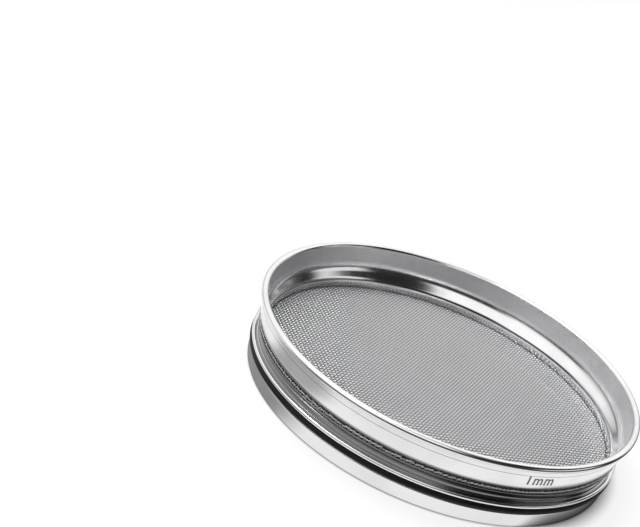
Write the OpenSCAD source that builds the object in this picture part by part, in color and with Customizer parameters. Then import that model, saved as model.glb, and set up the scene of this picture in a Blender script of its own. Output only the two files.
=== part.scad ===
// Test sieve, shallow type: two pressed sheet-steel frames that clamp a woven wire cloth
// between them, and a rubber seal ring under the lower frame's bead.
// Millimetres, +Z up. The origin is the centre of the foot, where the sieve stands.

/* [Frame] */
// Inside diameter of the upper frame, where the next sieve nests
inner_d = 200; // [190:1:220]
// Depth of the sieve, from the top of the rim to the middle of the wire cloth
sieve_depth = 25; // [23:0.5:50]
// Height of the wire cloth's middle above the foot
foot_h = 13; // [12.5:0.1:16]
// Thickness of the frames' sheet steel
sheet_t = 0.8; // [0.6:0.05:0.9]

/* [Rolled rim] */
// Outer radius of the two bends that roll the rim outwards
roll_r = 1.7; // [1.5:0.05:2]
// Flat on top of the roll, between its two bends
roll_flat = 0.5; // [0.2:0.1:1.2]
// Distance from the top of the rim down to the end of the hem that backs the wall
hem_drop = 6.5; // [5.5:0.1:8]
// Gap between the hem and the wall behind it
hem_gap = 0.15; // [0.05:0.05:0.3]
// Angle by which the roll's underside falls towards the wall
hem_slope = 28; // [20:1:40]
// Bend radius where the roll turns under, on the sheet's middle line
hem_bend = 0.98; // [0.8:0.02:1.1]
// Bend radius where the underside turns down into the hem, on the middle line
hem_foot_bend = 0.68; // [0.5:0.02:0.8]

/* [Shoulder] */
// Height of the wall's lower end above the middle of the cloth
wall_foot = 11.4; // [10:0.1:13]
// Height of the lip's upper end above the middle of the cloth
lip_h = 4.9; // [4.5:0.1:5.5]
// How far the shoulder steps in from the wall to the lip
shoulder_in = 4.6; // [4:0.1:5.5]
// Bend radius where the wall meets the shoulder
wall_bend = 11; // [6:0.5:14]

/* [Wire cloth] */
// Clear width of one opening between the wires
aperture = 1; // [0.9:0.05:2]
// Diameter of one wire
wire_d = 0.56; // [0.45:0.01:0.7]
// How far the cut wire ends reach past the lower frame's flange
wire_ends = 1.6; // [1:0.1:2]
// Inner radius of the sharp turn into the clamp, under the lip
cloth_corner = 0.04; // [0.02:0.01:0.2]
// How far the pressed edge of the cloth reaches in past the lip
edge_in = 1; // [0.5:0.1:2]
// How far the wires run on into the pressed edge
wire_over = 0.6; // [0.3:0.1:0.8]
// Meshes across one window, which opens as much of the cloth as its fine meshes do
window_meshes = 7; // [5:2:9]
// Wires in the strip between two windows
strip_wires = 4; // [4:2:6]
// Closed border between the windows and the pressed edge
border = 2; // [1:0.5:4]

/* [Lower frame] */
// Length of the flange that folds up along the shoulder
flange_len = 3; // [2.4:0.1:3.4]
// Bend radius at the root of the flange
flange_bend = 4; // [1:0.5:5]
// Height of the folded bead
bead_h = 2.3; // [2.1:0.1:2.6]
// How far the bead stands out past the skirt
bead_out = 1.5; // [1.2:0.1:2]
// Bend radius of the neck above the bead
neck_bend = 1; // [0.6:0.1:1.2]
// Radial clearance of the skirt inside the frame of the sieve below
skirt_clear = 0.3; // [0.2:0.05:0.6]
// Angle at which the sheet leaves the seal ring's groove for the skirt
skirt_slope = 28; // [20:1:40]
// Bend radius of the small bends beside the groove
groove_bend = 0.75; // [0.6:0.05:1]
// Depth of the seal ring's groove below the skirt
groove_in = 1.85; // [1.5:0.05:2.2]
// Bend radius at the foot of the skirt
foot_bend = 0.9; // [0.6:0.05:1]
// How far the foot turns in under the skirt
foot_in = 1.9; // [1.6:0.1:3]

/* [Seal ring] */
// Diameter of the seal ring's cord
cord_d = 3.5; // [3:0.1:3.8]

/* [Fits] */
// Gap between the clamped cloth and the sheet on each side of it
clamp_gap = 0.03; // [0.01:0.01:0.05]
// Gap between the seal ring and the steel around it
seal_gap = 0.05; // [0.02:0.01:0.1]

/* [Hidden] */
$fn = 180;
cloth_fn = 72;

half_t = sheet_t / 2;
// Shortest straight stretch left between two bends
least_straight = 0.02;
cloth_t = 2 * wire_d;
frame_h = foot_h + sieve_depth;

// Radii and heights of the upper frame's sheet, on its middle line
wall_r = inner_d / 2 + half_t;
lip_r = wall_r - shoulder_in;
lip_end_z = foot_h + cloth_t / 2 + clamp_gap;
lip_top_z = foot_h + lip_h;
wall_end_z = foot_h + wall_foot;
shoulder_fall = atan2(shoulder_in, wall_end_z - lip_top_z);
roll_bend = roll_r - half_t;
roll_top_z = frame_h - half_t;
roll_out_r = wall_r + 2 * roll_bend + roll_flat;
hem_r = wall_r + sheet_t + hem_gap;
hem_end_z = frame_h - hem_drop;
hem_turn = 90 - hem_slope;
// The underside leaves the roll just below the point where its second bend ends
hem_start_z = roll_top_z - roll_bend - hem_bend * tan(hem_turn / 2) - least_straight;
hem_foot_z = hem_start_z - (roll_out_r - hem_r) * tan(hem_slope);

// The cloth and the flange lie outside the lip and the shoulder, each a fixed way off
cloth_off = half_t + clamp_gap + cloth_t / 2;
flange_off = cloth_off + cloth_t / 2 + clamp_gap + half_t;
cloth_bend = flange_bend + flange_off - cloth_off;
shoulder_bend = flange_bend + flange_off;
off_rise = tan(shoulder_fall / 2);
along = [sin(shoulder_fall), cos(shoulder_fall)];

// The cloth's rim, on its middle line
rim_r = lip_r + cloth_off;
rim_root = [rim_r, lip_top_z - cloth_off * off_rise];
rim_len = flange_len + (flange_off - cloth_off) * off_rise + wire_ends;
rim_corner = cloth_t / 2 + cloth_corner;
rim_from_r = lip_r - half_t - edge_in;

// The wires: as many on each side of the middle as fit inside the rim
pitch = aperture + wire_d;
wire_r = wire_d / 2;
wires = floor(rim_from_r / pitch);
wire_end_r = rim_from_r + wire_over;
// The windows, from one strip of wires to the next
window = window_meshes * pitch - wire_d;
window_step = (window_meshes + strip_wires - 1) * pitch;
window_end_r = rim_from_r - border;
window_rows = floor(window_end_r / window_step + 0.5);

// Radii and heights of the lower frame's sheet, on its middle line
neck_r = lip_r + flange_off;
flange_root = [neck_r, lip_top_z - flange_off * off_rise];
skirt_or = inner_d / 2 - skirt_clear;
skirt_r = skirt_or - half_t;
bead_r = skirt_or + bead_out - half_t;
bead_top_z = foot_h + bead_h / 2 - half_t;
bead_low_z = foot_h - bead_h / 2 + half_t;
bead_bend = (bead_top_z - bead_low_z - least_straight) / 2;
groove_r = skirt_r - groove_in;

// The seal ring lies in its groove, against the underside of the bead
cord_r = cord_d / 2;
ring_r = groove_r + half_t + seal_gap + cord_r;
ring_z = bead_low_z - half_t - seal_gap - cord_r;
// The slope under the ring keeps the seal gap from the cord
slope_off = cord_r + seal_gap + half_t;
function slope_z(r) = ring_z - (slope_off + (r - ring_r) * sin(skirt_slope)) / cos(skirt_slope);

// A bend is drawn in steps of this many degrees at most
bend_step = 18;

function unit(v) = v / norm(v);
function left_of(v) = [-v[1], v[0]];
function turned(v, a) = [v[0] * cos(a) - v[1] * sin(a), v[0] * sin(a) + v[1] * cos(a)];
function turn_of(u, w) = atan2(u[0] * w[1] - u[1] * w[0], u * w);

// One rounded corner b of the line a, b, c: pairs of a point and the direction to its left
function bend(a, b, c, r) =
    let (
        u = unit(b - a),
        turn = turn_of(u, unit(c - b)),
        side = sign(turn),
        steps = max(1, ceil(abs(turn) / bend_step)),
        start = b - u * r * tan(abs(turn) / 2),
        centre = start + left_of(u) * side * r
    )
    [for (i = [0:steps]) let (n = turned(left_of(u), turn * i / steps)) [centre - n * side * r, n]];

// The whole middle line: its first end, each bend in turn and its last end
function middle(path, radii) =
    let (last = len(path) - 1)
    concat(
        [[path[0], left_of(unit(path[1] - path[0]))]],
        [for (i = [1:last - 1]) each bend(path[i - 1], path[i], path[i + 1], radii[i - 1])],
        [[path[last], left_of(unit(path[last] - path[last - 1]))]]
    );

// The outline of a sheet of thickness t that follows a middle line with rounded corners
function sheet(path, radii, t) =
    let (m = middle(path, radii))
    concat(
        [for (p = m) p[0] + p[1] * t / 2],
        [for (i = [len(m) - 1:-1:0]) m[i][0] - m[i][1] * t / 2]
    );

// The upper frame in section: lip, shoulder, wall, rolled rim and hem
module upper_frame() {
    path = [
        [lip_r, lip_end_z],
        [lip_r, lip_top_z],
        [wall_r, wall_end_z],
        [wall_r, roll_top_z],
        [roll_out_r, roll_top_z],
        [roll_out_r, hem_start_z],
        [hem_r, hem_foot_z],
        [hem_r, hem_end_z]
    ];
    radii = [shoulder_bend, wall_bend, roll_bend, roll_bend, hem_bend, hem_foot_bend];
    color("gainsboro") rotate_extrude() polygon(sheet(path, radii, sheet_t));
}

// How far a place lies from the middle of the nearest strip
function off_strip(x) = abs(x - round(x / window_step) * window_step);

// One face of the cloth in section: a thin wall with a ridge for each wire of a strip
function ridge_outline() =
    let (
        end = inner_d / 2,
        places = [for (i = [-wires:wires - 1]) (i + 0.5) * pitch],
        ridge = [[-wire_r, wire_r], [-wire_r, wire_d], [wire_r, wire_d], [wire_r, wire_r]]
    )
    concat(
        [[-end, 0], [-end, wire_r]],
        [for (x = places) if (off_strip(x) < strip_wires / 2 * pitch) each [for (c = ridge) [x, 0] + c]],
        [[end, wire_r], [end, 0]]
    );

// One face of the cloth, its wires running along X and ending inside the rim
module ridged_face() {
    intersection() {
        cylinder(r = wire_end_r, h = cloth_t, $fn = cloth_fn);
        translate([-inner_d / 2, 0, 0]) rotate([90, 0, 90])
            linear_extrude(inner_d) polygon(ridge_outline());
    }
}

// The windows between the strips, cut off round at the closed border
module windows() {
    intersection() {
        circle(r = window_end_r, $fn = cloth_fn);
        for (i = [-window_rows:window_rows - 1], j = [-window_rows:window_rows - 1]) {
            centre = [i + 0.5, j + 0.5] * window_step;
            if (norm(centre) < window_end_r - window / 4) translate(centre) square(window, center = true);
        }
    }
}

// The wire cloth: a thin wall with windows, the wires as ridges, and the clamped rim turned up
module wire_cloth() {
    path = [
        [rim_from_r, foot_h],
        [rim_r, foot_h],
        rim_root,
        rim_root + along * rim_len
    ];
    color("slategray") {
        rotate_extrude($fn = cloth_fn) polygon(sheet(path, [rim_corner, cloth_bend], cloth_t));
        difference() {
            translate([0, 0, foot_h]) {
                ridged_face();
                mirror([0, 0, 1]) rotate(90) ridged_face();
            }
            translate([0, 0, foot_h - cloth_t]) linear_extrude(2 * cloth_t) windows();
        }
    }
}

// The lower frame in section: flange, neck, folded bead, seal groove, skirt and foot
module lower_frame() {
    path = [
        flange_root + along * flange_len,
        flange_root,
        [neck_r, bead_top_z],
        [bead_r, bead_top_z],
        [bead_r, bead_low_z],
        [groove_r, bead_low_z],
        [groove_r, slope_z(groove_r)],
        [skirt_r, slope_z(skirt_r)],
        [skirt_r, half_t],
        [skirt_r - foot_in, half_t]
    ];
    radii = [
        flange_bend, neck_bend, bead_bend, bead_bend,
        groove_bend, groove_bend, groove_bend, foot_bend
    ];
    color("silver") rotate_extrude() polygon(sheet(path, radii, sheet_t));
}

// The seal ring: a round rubber cord
module seal_ring() {
    color("black") translate([0, 0, ring_z]) rotate_extrude()
        translate([ring_r, 0]) circle(r = cord_r);
}

upper_frame();
wire_cloth();
lower_frame();
seal_ring();
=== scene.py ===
"""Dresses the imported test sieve: turned steel frames, woven wire cloth, seal ring and size mark.

The sizes are millimetres, in the sieve's own frame: +Z up, with the origin at the centre of its foot.
Each new mesh is a surface worked out as whole numpy arrays and scaled to metres when it is made.
"""

import logging
import math
from dataclasses import dataclass
from enum import Enum

import bpy
import numpy as np
from mathutils import Matrix, Vector


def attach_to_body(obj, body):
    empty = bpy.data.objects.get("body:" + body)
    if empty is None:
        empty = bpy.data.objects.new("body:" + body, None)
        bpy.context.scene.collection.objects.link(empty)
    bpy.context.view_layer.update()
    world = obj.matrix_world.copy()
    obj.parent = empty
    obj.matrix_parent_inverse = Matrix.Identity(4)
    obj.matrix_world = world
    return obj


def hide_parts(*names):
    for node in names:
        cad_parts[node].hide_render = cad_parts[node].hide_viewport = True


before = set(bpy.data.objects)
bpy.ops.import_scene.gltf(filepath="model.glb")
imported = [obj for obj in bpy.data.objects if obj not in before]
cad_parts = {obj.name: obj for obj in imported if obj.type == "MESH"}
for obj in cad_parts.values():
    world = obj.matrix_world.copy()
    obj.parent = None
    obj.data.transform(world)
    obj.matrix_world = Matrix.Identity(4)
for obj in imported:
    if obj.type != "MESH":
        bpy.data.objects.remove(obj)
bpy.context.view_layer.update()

MM = 0.001
WHITE = (1.0, 1.0, 1.0, 1.0)
BODY = "root"
# How far above the bead, and above the shoulder's upper corner, the painted shade in the folds starts and
# ends
FOLD_MARGIN = 0.3
log = logging.getLogger("sieve")


class Slot(Enum):
    """The record's material slots."""

    STEEL = "frame_steel"
    WIRE = "cloth_wire"
    RUBBER = "seal_rubber"


class Run(Enum):
    """The way that a set of the cloth's wires runs."""

    ALONG_X = "x"
    ALONG_Y = "y"


# ---------------------------------------------------------------------------- section lines


@dataclass(frozen=True)
class Line:
    """A line in a section, as points (radius, height) and the unit normal at each of them."""

    points: np.ndarray
    normals: np.ndarray


def lengths(points: np.ndarray) -> np.ndarray:
    """Returns the distance along a line at each of its points."""
    steps = np.linalg.norm(np.diff(points, axis=0), axis=1)
    return np.concatenate([[0.0], np.cumsum(steps)])


def left_of(v: np.ndarray) -> np.ndarray:
    """Turns vectors in the section a quarter turn to the left."""
    return np.stack([-v[..., 1], v[..., 0]], axis=-1)


def turned(v: np.ndarray, angles: np.ndarray) -> np.ndarray:
    """Turns a vector by each angle: the cosine times it, plus the sine times its quarter turn."""
    return np.cos(angles)[:, None] * v + np.sin(angles)[:, None] * left_of(v)


def rounded(corners: np.ndarray, radii: list[float], step: float = math.radians(7.5)) -> Line:
    """Rounds the inner corners of an open line.

    An arc touches both sides of its corner. It starts radius * tan(turn / 2) before the corner,
    its centre lies the radius to the side of the turn, and its points are the centre less the
    turned normal times the radius.

    Args:
        corners: the line's corners, as (radius, height).
        radii: the bend radius at each inner corner.
        step: the largest angle between two points of an arc, in radians.

    Returns:
        The rounded line, with its left-hand normals.
    """
    sides = np.diff(corners, axis=0)
    sides = sides / np.linalg.norm(sides, axis=1, keepdims=True)
    points = [corners[:1]]
    normals = [left_of(sides[:1])]
    for corner, before, after, radius in zip(corners[1:-1], sides[:-1], sides[1:], radii):
        turn = math.atan2(before[0] * after[1] - before[1] * after[0], before @ after)
        start = corner - before * radius * math.tan(abs(turn) / 2)
        centre = start + left_of(before) * math.copysign(radius, turn)
        angles = np.linspace(0.0, turn, max(2, math.ceil(abs(turn) / step) + 1))
        normal = turned(left_of(before), angles)
        points.append(centre - normal * math.copysign(radius, turn))
        normals.append(normal)
    points.append(corners[-1:])
    normals.append(left_of(sides[-1:]))
    return Line(np.concatenate(points), np.concatenate(normals))


def sheet_outline(middle: Line, thickness: float, edge: float, edge_steps: int = 3) -> Line:
    """Gives a middle line the thickness of sheet metal.

    The outline follows the right-hand side at half the thickness, rounds the sheet's end, comes
    back along the left-hand side and rounds the other end. Each cut end has two quarter circles
    of the edge radius. The outline runs anticlockwise, with its normals outwards.

    Args:
        middle: the middle line and its left-hand normals.
        thickness: the sheet's thickness.
        edge: the radius that takes the sharpness off a cut end.
        edge_steps: how many points each quarter circle has besides its first.

    Returns:
        The closed outline, whose first point isn't repeated.
    """
    half = thickness / 2
    quarter = np.linspace(0.0, math.pi / 2, edge_steps + 1)

    def cut_end(point: np.ndarray, out: np.ndarray) -> tuple[np.ndarray, np.ndarray]:
        """Rounds one end of the sheet.

        Args:
            point: where the middle line ends.
            out: the direction in which it ends.

        Returns:
            The end's points and their normals.
        """
        left = left_of(out)
        first = turned(-left, quarter)
        last = turned(out, quarter)
        inner = point - out * edge
        side = left * (half - edge)
        return (
            np.concatenate([inner - side + first * edge, inner + side + last * edge]),
            np.concatenate([first, last]),
        )

    way = -left_of(middle.normals)
    far, far_normals = cut_end(middle.points[-1], way[-1])
    near, near_normals = cut_end(middle.points[0], -way[0])
    inside = slice(1, -1)
    right = middle.points[inside] - middle.normals[inside] * half
    left = (middle.points[inside] + middle.normals[inside] * half)[::-1]
    return Line(
        np.concatenate([right, far, left, near]),
        np.concatenate([-middle.normals[inside], far_normals, middle.normals[inside][::-1], near_normals]),
    )


# ---------------------------------------------------------------------------- meshes


def linked(name: str, data: bpy.types.ID) -> bpy.types.Object:
    """Makes an object of a mesh, text, lamp or camera, and links it to the scene.

    Args:
        name: the object's name.
        data: what it holds.

    Returns:
        The object, at the origin.
    """
    made = bpy.data.objects.new(name, data)
    bpy.context.scene.collection.objects.link(made)
    return made


def make_mesh(name: str, points: np.ndarray, quads: np.ndarray, uv: np.ndarray,
              normals: np.ndarray | None = None) -> bpy.types.Object:
    """Puts arrays of points and four-cornered faces into a new smooth mesh object.

    Args:
        name: the piece's name.
        points: (n, 3) places in millimetres.
        quads: (m, 4) indices, anticlockwise seen from outside.
        uv: (m, 4, 2) places on the piece's own map.
        normals: (n, 3) exact normals, or None to have them worked out from the faces.

    Returns:
        The object, at the origin, linked to the scene.
    """
    mesh = bpy.data.meshes.new(name)
    mesh.vertices.add(len(points))
    mesh.vertices.foreach_set("co", (points * MM).astype(np.float32).ravel())
    mesh.loops.add(quads.size)
    mesh.loops.foreach_set("vertex_index", quads.astype(np.int32).ravel())
    mesh.polygons.add(len(quads))
    mesh.polygons.foreach_set("loop_start", np.arange(0, quads.size, 4, dtype=np.int32))
    mesh.update(calc_edges=True)
    layer = mesh.uv_layers.new(name="OFBake")
    layer.uv.foreach_set("vector", uv.astype(np.float32).ravel())
    mesh.polygons.foreach_set("use_smooth", np.ones(len(quads), dtype=bool))
    if normals is not None:
        mesh.normals_split_custom_set_from_vertices(normals.astype(np.float32))
    return linked(name, mesh)


def revolved(name: str, outline: Line, turns: int) -> bpy.types.Object:
    """Turns a closed outline about the sieve's axis.

    The point of outline point k at angle a is (radius * cos a, radius * sin a, height), and the
    mesh closes on itself both ways. The map has the angle across it and the length along the
    outline up it.

    Args:
        name: the piece's name.
        outline: a closed anticlockwise outline, with outward normals.
        turns: how many steps there are round the axis.

    Returns:
        The revolved object.
    """
    count = len(outline.points)
    angles = np.linspace(0.0, 2 * math.pi, turns, endpoint=False)
    ring = np.stack([np.cos(angles), np.sin(angles)], axis=-1)

    def swept(section: np.ndarray) -> np.ndarray:
        """Turns a section's pairs to each angle.

        Args:
            section: (radius, height) pairs.

        Returns:
            (n, 3) places or directions, angle by angle.
        """
        flat = ring[:, None, :] * section[None, :, :1]
        up = np.broadcast_to(section[None, :, 1:], (turns, count, 1))
        return np.concatenate([flat, up], axis=-1).reshape(-1, 3)

    s, k = np.meshgrid(np.arange(turns), np.arange(count), indexing="ij")
    s2 = (s + 1) % turns
    k2 = (k + 1) % count
    quads = np.stack([s * count + k, s2 * count + k, s2 * count + k2, s * count + k2], axis=-1)
    closed = np.concatenate([outline.points, outline.points[:1]])
    along = lengths(closed)
    along = along / along[-1]
    u = np.stack([s, s + 1, s + 1, s], axis=-1) / turns
    v = np.stack([along[k], along[k], along[k + 1], along[k + 1]], axis=-1)
    return make_mesh(name, swept(outline.points), quads.reshape(-1, 4),
                     np.stack([u, v], axis=-1).reshape(-1, 4, 2), swept(outline.normals))


def attach(piece: bpy.types.Object, slot: Slot, finish: bpy.types.Material, *nodes: str) -> None:
    """Dresses a piece, lets it ride on the sieve and has it stand for the named CAD nodes.

    Args:
        piece: the new object.
        slot: the record's slot that its finish comes from; not used.
        finish: its material.
        nodes: the CAD nodes that it replaces.
    """
    piece.data.materials.append(finish)
    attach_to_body(piece, BODY)
    if nodes:
        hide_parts(*nodes)
    log.info("%s: %d faces, for %s", piece.name, len(piece.data.polygons), ", ".join(nodes) or "itself")


# ---------------------------------------------------------------------------- shader maths


class Sock:
    """A shader socket on which Python's operators add Math nodes."""

    def __init__(self, tree: "Tree", socket: bpy.types.NodeSocket) -> None:
        """Wraps one output socket of a tree."""
        self.tree = tree
        self.socket = socket

    def math(self, operation: str, *others: "Sock | float", first: bool = True) -> "Sock":
        """Adds one Math node.

        Args:
            operation: the Math node's operation.
            others: the other operands.
            first: False puts this socket after the others, for a reflected operator.

        Returns:
            The node's result.
        """
        operands = [self, *others] if first else [*others, self]
        node = self.tree.node("ShaderNodeMath", {"operation": operation}, dict(enumerate(operands)))
        return Sock(self.tree, node.outputs[0])

    def __add__(self, other: "Sock | float") -> "Sock":
        """Adds."""
        return self.math("ADD", other)

    def __sub__(self, other: "Sock | float") -> "Sock":
        """Subtracts."""
        return self.math("SUBTRACT", other)

    def __rsub__(self, other: float) -> "Sock":
        """Subtracts this from a number."""
        return self.math("SUBTRACT", other, first=False)

    def __mul__(self, other: "Sock | float") -> "Sock":
        """Multiplies."""
        return self.math("MULTIPLY", other)

    def __truediv__(self, other: "Sock | float") -> "Sock":
        """Divides."""
        return self.math("DIVIDE", other)

    def __rtruediv__(self, other: float) -> "Sock":
        """Divides a number by this."""
        return self.math("DIVIDE", other, first=False)

    def __pow__(self, other: "Sock | float") -> "Sock":
        """Raises to a power."""
        return self.math("POWER", other)

    __radd__ = __add__
    __rmul__ = __mul__

    def ramp(self, low: float, high: float) -> "Sock":
        """A smooth step, which falls where low is the larger.

        Args:
            low: where it is 0.
            high: where it is 1.

        Returns:
            The step's value.
        """
        sockets = {"Value": self, 1: low, 2: high, 3: 0.0, 4: 1.0}
        node = self.tree.node("ShaderNodeMapRange", {"interpolation_type": "SMOOTHSTEP"}, sockets)
        return Sock(self.tree, node.outputs[0])

    def between(self, start: float, full: float, less: float, end: float) -> "Sock":
        """A smooth plateau: 0 up to start, 1 from full to less, and 0 past end."""
        return self.ramp(start, full) * self.ramp(end, less)


class Tree:
    """A node tree, with one method that adds any node."""

    def __init__(self, tree: bpy.types.NodeTree) -> None:
        """Empties the tree."""
        self.tree = tree
        self.tree.nodes.clear()

    @classmethod
    def of_material(cls, name: str) -> tuple["Tree", bpy.types.Material]:
        """Makes a material.

        Args:
            name: the material's name.

        Returns:
            Its emptied tree, and the material.
        """
        material = bpy.data.materials.new(name)
        material.use_nodes = True
        return cls(material.node_tree), material

    def node(self, kind: str, settings: dict | None = None, sockets: dict | None = None) -> bpy.types.Node:
        """Adds a node.

        Args:
            kind: the node's type.
            settings: its own settings, such as an operation, set first.
            sockets: the value or link of each input, by name or place.

        Returns:
            The node.
        """
        node = self.tree.nodes.new(kind)
        for key, value in (settings or {}).items():
            setattr(node, key, value)
        for key, value in (sockets or {}).items():
            if isinstance(value, Sock):
                self.tree.links.new(value.socket, node.inputs[key])
            elif isinstance(value, bpy.types.NodeSocket):
                self.tree.links.new(value, node.inputs[key])
            else:
                node.inputs[key].default_value = value
        return node

    def places(self) -> tuple[Sock, Sock, Sock, Sock]:
        """Reads the object coordinates.

        Returns:
            Their vector, and its x, y and z, in metres.
        """
        coordinates = self.node("ShaderNodeTexCoord").outputs["Object"]
        parts = self.node("ShaderNodeSeparateXYZ", None, {0: coordinates}).outputs
        return Sock(self, coordinates), Sock(self, parts[0]), Sock(self, parts[1]), Sock(self, parts[2])

    def vector(self, x: "Sock | float", y: "Sock | float", z: "Sock | float") -> Sock:
        """Joins three values into a vector."""
        return Sock(self, self.node("ShaderNodeCombineXYZ", None, {0: x, 1: y, 2: z}).outputs[0])

    def noise(self, vector: Sock, scale: float, detail: float = 2.0, w: "Sock | None" = None) -> Sock:
        """Noise about 0.5.

        Args:
            vector: where it is read.
            scale: how many features there are to a unit.
            detail: how many finer octaves it has.
            w: a fourth coordinate, or None.

        Returns:
            The noise's value.
        """
        settings = {"noise_dimensions": "4D" if w else "3D"}
        sockets = {"Vector": vector, "Scale": scale, "Detail": detail}
        if w:
            sockets["W"] = w
        return Sock(self, self.node("ShaderNodeTexNoise", settings, sockets).outputs[0])

    def blend(self, share: "Sock | float", first: "Sock | tuple", second: "Sock | tuple") -> Sock:
        """Mixes two colours.

        Args:
            share: how much there is of the second, from 0 to 1.
            first: the first colour.
            second: the second colour.

        Returns:
            The mixed colour.
        """
        ends = [end if isinstance(end, Sock) else (*end, 1.0) for end in (first, second)]
        node = self.node("ShaderNodeMix", {"data_type": "RGBA"}, {0: share, 6: ends[0], 7: ends[1]})
        return Sock(self, node.outputs[2])

    def bump(self, height: Sock, depth: float) -> Sock:
        """A normal bent by a height in metres at a depth of 1."""
        node = self.node("ShaderNodeBump", None, {"Height": height, "Distance": depth, "Strength": 1.0})
        return Sock(self, node.outputs[0])

    def surface(self, sockets: dict) -> None:
        """Ends the tree in a Principled shader with these inputs."""
        shader = self.node("ShaderNodeBsdfPrincipled", None, sockets)
        self.node("ShaderNodeOutputMaterial", None, {"Surface": shader.outputs[0]})


def level_length(x: Sock, y: Sock) -> Sock:
    """The length of the level vector (x, y)."""
    return (x * x + y * y) ** 0.5


@dataclass(frozen=True)
class PolishedSteel:
    """Polished stainless sheet, with fine lines that the turning left round it and faint handling marks.

    Outside the shoulder, above the bead, the folds get painted shade: their colour is a dark grey
    that stands in for the shade deep in the groove. So does a thin band at the hem's cut edge.
    above the shoulder, is a little less smooth.
    """

    lip_r: float
    lip_top: float
    lean: float
    wall_r: float
    fold_low: float
    fold_high: float
    hem_low: float
    name: str = "polished_steel"
    bright: tuple = (0.86, 0.86, 0.87)
    dull: tuple = (0.78, 0.78, 0.79)
    # Painted shade: the dark grey of the folds and of the band at the hem's cut edge
    folds: tuple = (0.23, 0.23, 0.235)
    clouds_per_m: float = 38.0
    cloud_detail: float = 3.0
    cloud_range: tuple = (0.3, 0.7)
    roughness: float = 0.15
    lines_per_m: float = 9000.0
    round_per_m: float = 25.0
    line_depth: float = 0.0000010
    line_roughness: float = 0.05
    smears_per_m: float = 140.0
    smear_detail: float = 4.0
    smear_range: tuple = (0.52, 0.74)
    smear_roughness: float = 0.05
    inner_roughness: float = 0.13
    inner_fade: tuple = (-0.5, 1.0)
    slack: float = 0.25
    blur: float = 0.1
    fold_fades: tuple = (0.4, 1.5)
    edge_height: float = 0.35
    edge_fade: float = 0.15

    def material(self) -> bpy.types.Material:
        """Builds it.

        The lines are noise that changes fast with radius and height and slowly round the sieve.
        A place is in the folds if it lies between their two heights and outside the middle of the
        lip and the shoulder, whose radius grows with the height by the shoulder's lean. There, and in
        a band at the hem's cut edge, the colour is painted shade.

        Returns:
            The material.
        """
        tree, material = Tree.of_material(self.name)
        place, x, y, z = tree.places()
        radius = level_length(x, y)
        slow = self.round_per_m / self.lines_per_m
        stretched = tree.vector(x * slow, y * slow, z)
        lines = tree.noise(stretched, self.lines_per_m, w=radius * self.lines_per_m)
        clouds = tree.noise(place, self.clouds_per_m, self.cloud_detail)
        smears = tree.noise(place, self.smears_per_m, self.smear_detail).ramp(*self.smear_range)
        height = z / MM
        middle = self.lip_r + (height - self.lip_top).math("MAXIMUM", 0.0) * self.lean
        middle = middle.math("MINIMUM", self.wall_r)
        outer = (radius / MM - middle + self.slack).ramp(-self.blur, self.blur)
        rise, fall = self.fold_fades
        # Painted shade: masks of the folds above the bead and of a band at the hem's cut edge
        fold = outer * height.between(
            self.fold_low, self.fold_low + rise, self.fold_high - fall, self.fold_high)
        edge_top = self.hem_low + self.edge_height
        edge = outer * height.between(
            self.hem_low - self.edge_fade, self.hem_low, edge_top, edge_top + self.edge_fade)
        low, high = self.inner_fade
        inner = (1 - outer) * height.ramp(self.fold_high + low, self.fold_high + high)
        rough = self.roughness + (lines - 0.5) * self.line_roughness + smears * self.smear_roughness
        rough = rough + inner * self.inner_roughness
        polished = tree.blend(clouds.ramp(*self.cloud_range), self.bright, self.dull)
        tree.surface({
            # The folds and the hem's edge band take the painted shade colour
            "Base Color": tree.blend(fold.math("MAXIMUM", edge), polished, self.folds),
            "Metallic": 1.0,
            "Roughness": rough,
            "Normal": tree.bump(lines, self.line_depth),
        })
        return material


@dataclass(frozen=True)
class DrawnWire:
    """Drawn stainless wire, with painted light and shade: lighter on the crests of the weave's upper face,
    darker low in the cloth.
    """

    name: str = "drawn_wire"
    crest: tuple = (0.735, 0.735, 0.745)
    valley_shade: tuple = (0.10, 0.10, 0.102)
    low: float = 12.8
    high: float = 13.4
    roughness: float = 0.36
    spread: float = 0.03
    specks_per_m: float = 900.0
    unevenness: float = 0.05

    def material(self) -> bpy.types.Material:
        """Builds it.

        The share of the crest's colour grows with the height within the cloth, a little unevenly, so the low
        parts of the wires get painted shade.

        Returns:
            The material.
        """
        tree, material = Tree.of_material(self.name)
        place, _, _, z = tree.places()
        specks = tree.noise(place, self.specks_per_m)
        share = (z / MM + (specks - 0.5) * self.unevenness).ramp(self.low, self.high)
        tree.surface({
            # Painted shade low in the cloth, lighter crests above
            "Base Color": tree.blend(share, self.valley_shade, self.crest),
            "Metallic": 1.0,
            "Roughness": self.roughness + (specks - 0.5) * self.spread,
        })
        return material


@dataclass(frozen=True)
class BlackRubber:
    """Moulded black rubber cord, a little uneven."""

    name: str = "black_rubber"
    colour: tuple = (0.004, 0.004, 0.004)
    dusty: tuple = (0.010, 0.010, 0.010)
    roughness: float = 0.45
    gloss: float = 0.22
    dust_per_m: float = 90.0
    dust_detail: float = 4.0
    dust_range: tuple = (0.4, 0.75)
    dust_roughness: float = 0.15
    grain_per_m: float = 2600.0
    grain_depth: float = 0.00002

    def material(self) -> bpy.types.Material:
        """Builds it.

        Returns:
            The material.
        """
        tree, material = Tree.of_material(self.name)
        place = tree.places()[0]
        dust = tree.noise(place, self.dust_per_m, self.dust_detail)
        grain = tree.noise(place, self.grain_per_m)
        tree.surface({
            "Base Color": tree.blend(dust.ramp(*self.dust_range), self.colour, self.dusty),
            "Roughness": self.roughness + dust * self.dust_roughness,
            "Specular IOR Level": self.gloss,
            "Normal": tree.bump(grain, self.grain_depth),
        })
        return material


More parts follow.
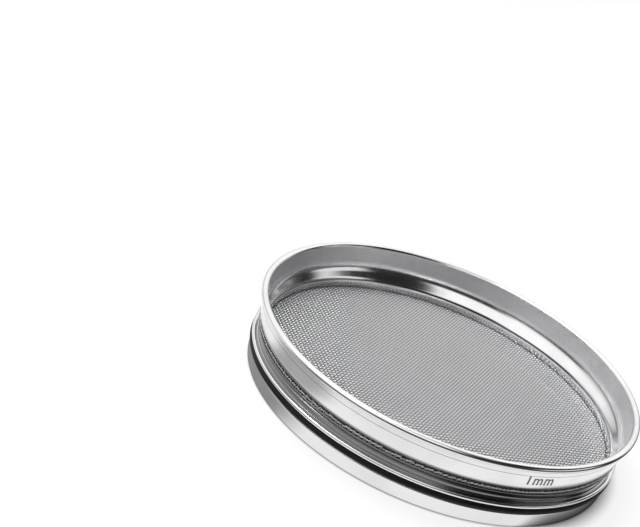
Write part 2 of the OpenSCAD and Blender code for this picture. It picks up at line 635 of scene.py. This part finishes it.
@dataclass(frozen=True)
class EtchedMark:
    """The dark matt grey of an electrolytic mark on steel."""

    name: str = "etched_mark"
    colour: tuple = (0.19, 0.19, 0.19)
    pale: tuple = (0.28, 0.28, 0.28)
    metallic: float = 0.4
    roughness: float = 0.55
    spread: float = 0.2
    grain_per_m: float = 1500.0
    grain_detail: float = 3.0
    grain_range: tuple = (0.35, 0.7)

    def material(self) -> bpy.types.Material:
        """Builds it.

        Returns:
            The material.
        """
        tree, material = Tree.of_material(self.name)
        grain = tree.noise(tree.places()[0], self.grain_per_m, self.grain_detail)
        tree.surface({
            "Base Color": tree.blend(grain.ramp(*self.grain_range), self.colour, self.pale),
            "Roughness": self.roughness + (grain - 0.5) * self.spread,
            "Metallic": self.metallic,
        })
        return material


# ---------------------------------------------------------------------------- the sieve


@dataclass(frozen=True)
class Sheet:
    """Sizes that the pressed sheets and the cloth between them share."""

    inner_d: float = 200.0
    depth: float = 25.0
    foot_height: float = 13.0
    thickness: float = 0.8
    wire_d: float = 0.56
    aperture: float = 1.0
    clamp_gap: float = 0.03
    shoulder_in: float = 4.6
    lip_height: float = 4.9
    wall_foot: float = 11.4
    flange_len: float = 3.0
    flange_bend: float = 4.0
    cut_edge: float = 0.38

    @property
    def half(self) -> float:
        """Half the sheet's thickness."""
        return self.thickness / 2

    @property
    def pitch(self) -> float:
        """The distance from one wire of the cloth to the next."""
        return self.aperture + self.wire_d

    @property
    def cloth(self) -> float:
        """The cloth's thickness where two wires cross."""
        return 2 * self.wire_d

    @property
    def wall_r(self) -> float:
        """The upper frame's wall, on its middle line."""
        return self.inner_d / 2 + self.half

    @property
    def lip_r(self) -> float:
        """The upper frame's lip, on its middle line."""
        return self.wall_r - self.shoulder_in

    @property
    def lip_top(self) -> float:
        """The height of the corner between the lip and the shoulder."""
        return self.foot_height + self.lip_height

    @property
    def wall_end(self) -> float:
        """The height of the corner between the shoulder and the wall."""
        return self.foot_height + self.wall_foot

    @property
    def fall(self) -> float:
        """The shoulder's lean from the vertical, in radians."""
        return math.atan2(self.shoulder_in, self.wall_end - self.lip_top)

    @property
    def cloth_off(self) -> float:
        """How far the cloth's middle lies outside the lip's."""
        return self.half + self.clamp_gap + self.cloth / 2

    @property
    def flange_off(self) -> float:
        """How far the flange's middle lies outside the lip's."""
        return self.cloth_off + self.cloth / 2 + self.clamp_gap + self.half

    def root(self, off: float) -> np.ndarray:
        """The corner under the shoulder of a layer that lies this far outside the lip."""
        return np.array([self.lip_r + off, self.lip_top - off * math.tan(self.fall / 2)])

    def along(self, length: float) -> np.ndarray:
        """A step of this length up along the shoulder."""
        return length * np.array([math.sin(self.fall), math.cos(self.fall)])


@dataclass
class UpperFrame:
    """The upper frame: lip, shoulder, wall, rolled rim and hem, pressed from one sheet."""

    sheet: Sheet
    roll_r: float = 1.7
    roll_flat: float = 0.5
    hem_drop: float = 6.5
    hem_gap: float = 0.15
    hem_slope: float = math.radians(28)
    hem_bend: float = 0.98
    hem_foot_bend: float = 0.68
    wall_bend: float = 11.0
    straight: float = 0.02
    turns: int = 480

    @property
    def hem_low(self) -> float:
        """The height of the hem's cut edge."""
        return self.sheet.foot_height + self.sheet.depth - self.hem_drop

    def middle(self) -> Line:
        """Works out the sheet's middle line, with rounded corners.

        Returns:
            The line, from the lip's end to the hem's.
        """
        s = self.sheet
        bend = self.roll_r - s.half
        top = s.foot_height + s.depth - s.half
        out_r = s.wall_r + 2 * bend + self.roll_flat
        hem_r = s.wall_r + s.thickness + self.hem_gap
        hem_turn = math.pi / 2 - self.hem_slope
        hem_start = top - bend - self.hem_bend * math.tan(hem_turn / 2) - self.straight
        corners = np.array([
            [s.lip_r, s.foot_height + s.cloth / 2 + s.clamp_gap],
            [s.lip_r, s.lip_top],
            [s.wall_r, s.wall_end],
            [s.wall_r, top],
            [out_r, top],
            [out_r, hem_start],
            [hem_r, hem_start - (out_r - hem_r) * math.tan(self.hem_slope)],
            [hem_r, self.hem_low],
        ])
        lip_bend = s.flange_bend + s.flange_off
        hem = [self.hem_bend, self.hem_foot_bend]
        return rounded(corners, [lip_bend, self.wall_bend, bend, bend, *hem])

    def build(self, finish: bpy.types.Material) -> None:
        """Makes the frame and dresses it in a finish."""
        outline = sheet_outline(self.middle(), self.sheet.thickness, self.sheet.cut_edge)
        attach(revolved("upper_frame_sheet", outline, self.turns), Slot.STEEL, finish, "upper_frame")


@dataclass
class LowerFrame:
    """The lower frame: flange, neck, folded bead, seal groove, skirt and foot, pressed from one sheet."""

    sheet: Sheet
    bead_h: float = 2.3
    bead_out: float = 1.5
    neck_bend: float = 1.0
    skirt_clear: float = 0.3
    skirt_slope: float = math.radians(28)
    groove_bend: float = 0.75
    groove_in: float = 1.85
    foot_bend: float = 0.9
    foot_in: float = 1.9
    cord_d: float = 3.5
    seal_gap: float = 0.05
    straight: float = 0.02
    turns: int = 480

    @property
    def skirt_r(self) -> float:
        """The skirt, on its middle line."""
        return self.sheet.inner_d / 2 - self.skirt_clear - self.sheet.half

    @property
    def bead_low(self) -> float:
        """The height of the bead's lower fold, on its middle line."""
        return self.sheet.foot_height - self.bead_h / 2 + self.sheet.half

    @property
    def cord_centre(self) -> tuple[float, float]:
        """The radius and height of the seal cord's centre, in the groove and against the bead."""
        off = self.sheet.half + self.seal_gap + self.cord_d / 2
        return self.skirt_r - self.groove_in + off, self.bead_low - off

    @property
    def bead_top(self) -> float:
        """The height of the bead's upper fold, on its middle line."""
        return self.sheet.foot_height + self.bead_h / 2 - self.sheet.half

    def slope_z(self, r: float) -> float:
        """Works out the slope under the cord, a tangent to the circle that is the seal gap outside it.

        Args:
            r: a radius on the sheet's middle line.

        Returns:
            The middle line's height there.
        """
        ring_r, ring_z = self.cord_centre
        off = self.cord_d / 2 + self.seal_gap + self.sheet.half
        return ring_z - (off + (r - ring_r) * math.sin(self.skirt_slope)) / math.cos(self.skirt_slope)

    def middle(self) -> Line:
        """Works out the sheet's middle line, with rounded corners.

        Returns:
            The line, from the flange's tip to the foot's edge.
        """
        s = self.sheet
        root = s.root(s.flange_off)
        bead_r = s.inner_d / 2 - self.skirt_clear + self.bead_out - s.half
        fold = (self.bead_top - self.bead_low - self.straight) / 2
        groove_r = self.skirt_r - self.groove_in
        corners = np.array([
            root + s.along(s.flange_len),
            root,
            [root[0], self.bead_top],
            [bead_r, self.bead_top],
            [bead_r, self.bead_low],
            [groove_r, self.bead_low],
            [groove_r, self.slope_z(groove_r)],
            [self.skirt_r, self.slope_z(self.skirt_r)],
            [self.skirt_r, s.half],
            [self.skirt_r - self.foot_in, s.half],
        ])
        groove = [self.groove_bend] * 3
        return rounded(corners, [s.flange_bend, self.neck_bend, fold, fold, *groove, self.foot_bend])

    def build(self, finish: bpy.types.Material) -> None:
        """Makes the frame and dresses it in a finish."""
        outline = sheet_outline(self.middle(), self.sheet.thickness, self.sheet.cut_edge)
        attach(revolved("lower_frame_sheet", outline, self.turns), Slot.STEEL, finish, "lower_frame")


@dataclass
class SealRing:
    """The rubber cord in the lower frame's groove."""

    lower: LowerFrame
    sides: int = 40
    turns: int = 360

    def build(self, finish: bpy.types.Material) -> None:
        """Makes the cord, a circle of the cord's radius about its centre, and dresses it.

        Args:
            finish: the cord's material.
        """
        angles = np.linspace(0.0, 2 * math.pi, self.sides, endpoint=False)
        normals = np.stack([np.cos(angles), np.sin(angles)], axis=-1)
        points = np.array(self.lower.cord_centre) + normals * self.lower.cord_d / 2
        attach(revolved("seal_cord", Line(points, normals), self.turns), Slot.RUBBER, finish, "seal_ring")


@dataclass
class WireCloth:
    """The woven wire cloth, from its middle to the cut wire ends above the flange."""

    sheet: Sheet
    edge_in: float = 1.0
    corner_r: float = 0.04
    wire_ends: float = 1.6
    under_lip: float = 0.3
    past_end: float = 4.0
    rows_each: int = 4
    end_width: float = 0.8

    def edge_line(self) -> Line:
        """Works out the cloth's middle line in section, with rounded corners.

        Returns:
            The line, from inside the lip to past the wire ends.
        """
        s = self.sheet
        root = s.root(s.cloth_off)
        corners = np.array([
            [self.edge_r, s.foot_height],
            [root[0], s.foot_height],
            root,
            root + s.along(self.clamp_len + self.past_end),
        ])
        bend = s.flange_bend + s.flange_off - s.cloth_off
        return rounded(corners, [s.cloth / 2 + self.corner_r, bend])

    @property
    def edge_r(self) -> float:
        """The radius where the pressed edge of the cloth begins."""
        return self.sheet.lip_r - self.sheet.half - self.edge_in

    @property
    def clamp_len(self) -> float:
        """The length of the edge above its last corner."""
        s = self.sheet
        return s.flange_len + (s.flange_off - s.cloth_off) * math.tan(s.fall / 2) + self.wire_ends

    def placed(self, flat: np.ndarray, height: np.ndarray) -> tuple[np.ndarray, np.ndarray]:
        """Folds points of the flat cloth up along the section of its edge.

        A point keeps its angle about the axis. Its flat radius past the start of the edge becomes
        a length along the edge's line, and its height stands on that line's normal.

        Args:
            flat: (..., 2) places on the flat cloth.
            height: (...) heights above the cloth's middle.

        Returns:
            The places, and the cloth's normals there, both (..., 3).
        """
        line = self.edge_line()
        length = lengths(line.points)
        radius = np.linalg.norm(flat, axis=-1)
        way = flat / radius[..., None]
        past = np.maximum(radius - self.edge_r, 0.0)
        r = np.interp(past, length, line.points[:, 0]) + np.minimum(radius - self.edge_r, 0.0)
        z = np.interp(past, length, line.points[:, 1])
        out = np.interp(past, length, line.normals[:, 0])
        up = np.interp(past, length, line.normals[:, 1])
        normal = np.concatenate([way * out[..., None], up[..., None]], axis=-1)
        place = np.concatenate([way * r[..., None], z[..., None]], axis=-1)
        return place + normal * height[..., None], normal

    def wires(self, name: str, run: Run, low: float, high: float) -> bpy.types.Object:
        """Makes the wires of one set where the flat cloth's radius lies between two limits.

        Wire i lies at (i + 1/2) pitches from the axis. Its height is a wave of half the wire's
        diameter, cos(pi * (t / pitch - 1/2)) turned over at every second wire, so it goes over
        one crossing wire and under the next. Two points to each crossing carry a four-sided
        section, whose corners lie above, below and on both sides of the wire's middle.

        Args:
            name: the piece's name.
            run: the way the wires run.
            low: the smallest flat radius.
            high: the largest flat radius.

        Returns:
            The wires, as one object.
        """
        pitch = self.sheet.pitch
        half = self.sheet.wire_d / 2
        reach = math.ceil(high / pitch)
        wire = np.arange(-reach, reach)
        step = np.arange(-2 * reach - 2, 2 * reach + 3)
        across, along = np.meshgrid((wire + 0.5) * pitch, step * pitch / 2, indexing="ij")
        over = np.where(wire % 2 == 0, 1.0, -1.0)[:, None] * (1 if run is Run.ALONG_X else -1)
        # At an odd step 2 j + 1 the wave is at its crest or trough over crossing wire j
        height = half * over * np.sin(np.pi * step / 2)[None, :]
        pair = [along, across] if run is Run.ALONG_X else [across, along]
        flat = np.stack(pair, axis=-1)
        middle, normal = self.placed(flat, height)
        tangent = np.gradient(middle, axis=1)
        side = np.cross(tangent, normal)
        side /= np.linalg.norm(side, axis=-1, keepdims=True)
        top = np.cross(side, tangent)
        top /= np.linalg.norm(top, axis=-1, keepdims=True)
        corners = np.stack([top, side, -top, -side], axis=2) * half + middle[:, :, None, :]

        radius = np.linalg.norm(flat, axis=-1)
        inside = (radius >= low) & (radius <= high)
        i, k = np.nonzero(inside[:, :-1] & inside[:, 1:])
        ids = np.arange(corners.size // 3).reshape(corners.shape[:3])
        j = np.arange(corners.shape[2])
        j2 = np.roll(j, -1)
        first = ids[i, k]
        second = ids[i, k + 1]
        walls = np.stack([first[:, j], first[:, j2], second[:, j2], second[:, j]], axis=-1)
        used = np.zeros_like(inside)
        used[i, k] = True
        starts = np.argwhere(used[:, 1:] & ~used[:, :-1]) + [0, 1]
        ends = np.argwhere(~used[:, 1:] & used[:, :-1]) + [0, 1]
        caps = np.concatenate([ids[starts[:, 0], starts[:, 1]][:, ::-1], ids[ends[:, 0], ends[:, 1]]])
        quads = np.concatenate([walls.reshape(-1, 4), caps])
        kept, packed = np.unique(quads, return_inverse=True)
        return make_mesh(name, corners.reshape(-1, 3)[kept], packed.reshape(-1, 4),
                         self.wire_map(i, k, len(wire), len(step), len(caps)))

    def wire_map(self, i: np.ndarray, k: np.ndarray, wires: int, steps: int, caps: int) -> np.ndarray:
        """Lays the wires' faces out, one row to each side of a wire, with the cut ends in a row above.

        Args:
            i: the wire of each step.
            k: the step's place along it.
            wires: how many wires there are.
            steps: how many points each has.
            caps: how many cut ends there are.

        Returns:
            (faces, 4, 2) places on the map.
        """
        each = self.rows_each
        rows = (wires + 1) * each
        u0 = np.broadcast_to(k[:, None] / steps, (len(k), each))
        u1 = u0 + 1 / steps
        v0 = (i[:, None] * each + np.arange(each)) / rows
        v1 = v0 + 1 / rows
        walls = np.stack([np.stack([u0, v0], -1), np.stack([u0, v1], -1),
                          np.stack([u1, v1], -1), np.stack([u1, v0], -1)], axis=-2)
        c0 = np.arange(caps) / caps
        c1 = c0 + self.end_width / caps
        low = np.full(caps, (rows - each + 1) / rows)
        high = np.full(caps, (rows - 1) / rows)
        ends = np.stack([np.stack([c0, low], -1), np.stack([c1, low], -1),
                         np.stack([c1, high], -1), np.stack([c0, high], -1)], axis=-2)
        return np.concatenate([walls.reshape(-1, 4, 2), ends])

    def build(self, finish: bpy.types.Material) -> None:
        """Makes both sets of wires, the field of the cloth and its clamped edge apart.

        Args:
            finish: the wires' material.
        """
        seam = self.sheet.lip_r - self.sheet.half + self.under_lip
        edge_end = self.edge_r + lengths(self.edge_line().points)[-1] - self.past_end
        stretches = {"wires": (0.0, seam), "edge": (seam - self.sheet.pitch / 2, edge_end)}
        for run in Run:
            for word, (low, high) in stretches.items():
                wires = self.wires(f"cloth_{word}_{run.value}", run, low, high)
                attach(wires, Slot.WIRE, finish, "wire_cloth")


@dataclass
class SizeMark:
    """The aperture's size, etched on the outside of the wall."""

    sheet: Sheet
    words: str = "1mm"
    azimuth: float = math.radians(-44.3)
    low: float = 26.4
    letter_h: float = 5.5
    letter_share: float = 0.72
    bold: float = 0.13
    spacing: float = 1.12
    depth: float = 0.02

    def build(self, finish: bpy.types.Material) -> None:
        """Makes the letters flat, wraps them round the wall and dresses them.

        A letter's point (x, y, z) goes to the azimuth x / radius past the first, the height y and
        the radius of the wall's outside plus z.

        Args:
            finish: the mark's material.
        """
        curve = bpy.data.curves.new("size_mark", "FONT")
        curve.body = self.words
        curve.size = self.letter_h / self.letter_share
        curve.extrude = self.depth
        curve.offset = self.bold
        curve.space_character = self.spacing
        source = linked("size_mark_text", curve)
        bpy.context.view_layer.update()
        mesh = bpy.data.meshes.new_from_object(source)
        bpy.data.objects.remove(source)
        flat = np.empty(len(mesh.vertices) * 3, np.float32)
        mesh.vertices.foreach_get("co", flat)
        x, y, z = flat.reshape(-1, 3).T
        radius = self.sheet.wall_r + self.sheet.half
        angle = self.azimuth + x / radius
        place = np.stack([(radius + z) * np.cos(angle), (radius + z) * np.sin(angle), y + self.low], axis=-1)
        mesh.vertices.foreach_set("co", (place * MM).astype(np.float32).ravel())
        mesh.update()
        piece = linked("size_mark", mesh)
        piece.data.materials.clear()
        attach(piece, Slot.STEEL, finish)


# ---------------------------------------------------------------------------- the studio


@dataclass(frozen=True)
class Viewpoint:
    """Where the camera stands, in the sieve's frame."""

    eye: tuple = (147.34, -690.70, 365.85)
    forward: tuple = (-0.28987, 0.86633, -0.40675)
    roll: float = math.radians(-21.278)
    lens: float = 84.375
    sensor: float = 36.0
    nearest: float = 0.01
    farthest: float = 20.0

    def place(self) -> None:
        """Makes the scene's camera."""
        data = bpy.data.cameras.new("camera")
        data.lens = self.lens
        data.sensor_width = self.sensor
        data.clip_start = self.nearest
        data.clip_end = self.farthest
        camera = linked("camera", data)
        stand = Matrix.Translation(Vector(self.eye) * MM)
        look = Vector(self.forward).to_track_quat("-Z", "Y").to_matrix().to_4x4()
        camera.matrix_world = stand @ look @ Matrix.Rotation(-self.roll, 4, "Z")
        bpy.context.scene.camera = camera


@dataclass(frozen=True)
class Softbox:
    """One square lamp that faces the sieve."""

    name: str
    azimuth: float
    elevation: float
    distance: float
    size: float
    watts: float

    def place(self) -> None:
        """Makes the lamp."""
        data = bpy.data.lights.new(self.name, "AREA")
        data.shape = "SQUARE"
        data.size = self.size
        data.energy = self.watts
        flat = math.cos(self.elevation)
        way = Vector((flat * math.cos(self.azimuth), flat * math.sin(self.azimuth), math.sin(self.elevation)))
        lamp = linked(self.name, data)
        lamp.location = way * self.distance
        lamp.rotation_euler = way.to_track_quat("Z", "Y").to_euler()


@dataclass(frozen=True)
class Sector:
    """A stretch of azimuth: its middle, and how far from it the stretch holds in full and ends."""

    azimuth: float
    inner: float
    outer: float

    def share(self, x: Sock, y: Sock) -> Sock:
        """Tells how far a direction or place lies in the stretch.

        Args:
            x: its part along X.
            y: its part along Y.

        Returns:
            1 inside the stretch and 0 outside it.
        """
        towards = (x * math.cos(self.azimuth) + y * math.sin(self.azimuth)) / level_length(x, y)
        return towards.ramp(math.cos(self.outer), math.cos(self.inner))


def sector(azimuth: float, inner: float, outer: float) -> Sector:
    """A sector with its angles in degrees."""
    return Sector(math.radians(azimuth), math.radians(inner), math.radians(outer))


@dataclass(frozen=True)
class Studio:
    """The pale floor, the world above it and the lamps.

    The world is a bright tent, as polished metal needs: an open side and a dark band low on the
    camera's side give the bends their dark lines. In reflections the floor's glow is painted darker
    in some sectors, in steps of distance from the foot, as painted shade and a painted dark patch.
    To the camera it is white outside the foot, with a painted shadow in its colour under the sieve.
    """

    floor_half: float = 3.0
    floor_grey: float = 0.80
    painted_shadow_grey: float = 0.12
    glow: float = 0.8
    seen_level: float = 1.05
    mirrored_share: float = 0.94
    mirrored_level: float = 1.0
    foot_r: float = 98.0
    foot_blur: float = 1.0
    shade: float = 3.0
    shade_seen: float = 8.0
    right_shade: Sector = sector(8, 22, 50)
    right_width: float = 24.0
    left_shade: Sector = sector(-143, 16, 36)
    left_dark: float = 0.72
    left_steps: tuple = (9.0, 18.0)
    painted_dark_patch: Sector = sector(-131, 6, 23)
    painted_patch_dark: float = 0.6
    painted_patch_steps: tuple = (12.0, 18.0, 90.0, 150.0)
    far_side: Sector = sector(-30, 100, 125)
    far_steps: tuple = (68.0, 82.0)
    far_level: float = 0.06
    tent: float = 1.15
    tent_foot: float = 0.6
    tent_rise: tuple = (0.05, 0.5)
    top: float = 0.62
    top_rise: tuple = (0.86, 0.96)
    dark: float = 0.02
    open_side: Sector = sector(4, 44, 60)
    low_all: Sector = sector(-55, 100, 112)
    low_side: Sector = sector(-48, 42, 62)
    low_dark: float = 0.03
    low_heights: tuple = (math.radians(10), math.radians(17))
    side_heights: tuple = (math.radians(24), math.radians(31))
    window: Sector = sector(15, 13, 24)
    window_heights: tuple = (math.radians(9), math.radians(13), math.radians(26), math.radians(30))
    window_level: float = 0.9
    lamps: tuple = (
        Softbox("overhead", math.radians(172), math.radians(68), distance=1.4, size=0.7, watts=14.0),
    )

    def floor(self) -> None:
        """Makes the floor: it takes the shadow, has a painted shadow in its colour under the sieve, and is
        white to the camera and in most reflections outside the foot.
        """
        half = self.floor_half
        corners = [(-half, -half, 0), (half, -half, 0), (half, half, 0), (-half, half, 0)]
        mesh = bpy.data.meshes.new("floor")
        mesh.from_pydata(corners, [], [(0, 1, 2, 3)])
        floor = linked("floor", mesh)
        tree, material = Tree.of_material("floor_paper")
        camera, glossy, through = self.rays(tree)
        _, x, y, _ = tree.places()
        past = level_length(x, y) / MM - self.foot_r
        right = self.right_shade.share(x, y)
        left = self.left_shade.share(x, y)
        seen = (past / (self.shade + right * self.shade_seen)).ramp(0.0, 1.0)
        # Painted shade in the floor's glow as the metal mirrors it: darker near the foot, most in the right
        # and left sectors
        near = (past / (self.shade + right * self.right_width)).ramp(0.0, 1.0)
        near = near * (1 - left * (1 - past.ramp(*self.left_steps)) * self.left_dark)
        # A painted dark patch in the mirrored glow, in one sector between two distances from the foot
        painted_dark_patch = self.painted_dark_patch.share(x, y) * past.between(*self.painted_patch_steps)
        near = near * (1 - painted_dark_patch * self.painted_patch_dark)
        # Far out on the open side the mirrored glow is painted dark too
        far = self.far_side.share(x, y) * past.ramp(*self.far_steps)
        mirrored = near * (1 - far * (1 - self.far_level))
        lit = (camera + through) * seen * self.glow + glossy * self.mirrored_share
        strength = (camera + through) * self.seen_level + glossy * mirrored * self.mirrored_level
        # Painted shadow: inside the foot the floor's own colour is dark grey
        outside = past.ramp(-self.foot_blur, self.foot_blur)
        paper = tree.blend(outside, (self.painted_shadow_grey,) * 3, (self.floor_grey,) * 3)
        matt = tree.node("ShaderNodeBsdfDiffuse", None, {"Color": paper})
        glow = tree.node("ShaderNodeEmission", None, {"Color": WHITE, "Strength": strength})
        mix = tree.node("ShaderNodeMixShader", None, {0: lit, 1: matt.outputs[0], 2: glow.outputs[0]})
        tree.node("ShaderNodeOutputMaterial", None, {"Surface": mix.outputs[0]})
        mesh.materials.append(material)

    @staticmethod
    def rays(tree: Tree) -> tuple[Sock, Sock, Sock]:
        """Tells the kinds of ray apart.

        Args:
            tree: the tree that asks.

        Returns:
            1 or 0 for a camera ray, a reflected ray and a ray through glass.
        """
        path = tree.node("ShaderNodeLightPath").outputs
        names = ("Is Camera Ray", "Is Glossy Ray", "Is Transmission Ray")
        return tuple(Sock(tree, path[name]) for name in names)

    def world(self) -> None:
        """Makes the world: the bright tent, its dark parts and its dimmer top, white to the camera."""
        world = bpy.data.worlds.new("studio")
        world.use_nodes = True
        bpy.context.scene.world = world
        tree = Tree(world.node_tree)
        way = tree.node("ShaderNodeTexCoord").outputs["Generated"]
        x, y, up = (Sock(tree, s) for s in tree.node("ShaderNodeSeparateXYZ", None, {0: way}).outputs)
        level = self.tent_foot + up.ramp(*self.tent_rise) * (self.tent - self.tent_foot)
        level = level + self.open_side.share(x, y) * (self.dark - level)
        for side, (low, high) in ((self.low_all, self.low_heights), (self.low_side, self.side_heights)):
            band = side.share(x, y) * up.ramp(math.sin(high), math.sin(low))
            level = level + band * (self.low_dark - level)
        pane = self.window.share(x, y) * up.between(*(math.sin(height) for height in self.window_heights))
        level = level + pane * (self.window_level - level)
        level = level + up.ramp(*self.top_rise) * (self.top - level)
        camera = self.rays(tree)[0]
        strength = level * (1 - camera) + camera
        ground = tree.node("ShaderNodeBackground", None, {"Color": WHITE, "Strength": strength})
        tree.node("ShaderNodeOutputWorld", None, {"Surface": ground.outputs[0]})

    def build(self) -> None:
        """Makes the whole studio."""
        self.floor()
        self.world()
        for lamp in self.lamps:
            lamp.place()
        bpy.context.scene.view_settings.view_transform = "Standard"


def main() -> None:
    """Builds the camera, the sieve's pieces in order and the studio."""
    logging.basicConfig(level=logging.INFO, format="%(name)s: %(message)s")
    Viewpoint().place()
    sheet = Sheet()
    lower = LowerFrame(sheet)
    upper = UpperFrame(sheet)
    steel = PolishedSteel(
        lip_r=sheet.lip_r,
        lip_top=sheet.lip_top,
        lean=math.tan(sheet.fall),
        wall_r=sheet.wall_r,
        fold_low=lower.bead_top + FOLD_MARGIN,
        fold_high=sheet.wall_end + FOLD_MARGIN,
        hem_low=upper.hem_low,
    ).material()
    upper.build(steel)
    lower.build(steel)
    WireCloth(sheet).build(DrawnWire().material())
    SealRing(lower).build(BlackRubber().material())
    SizeMark(sheet).build(EtchedMark().material())
    Studio().build()


if __name__ == "__main__":
    main()
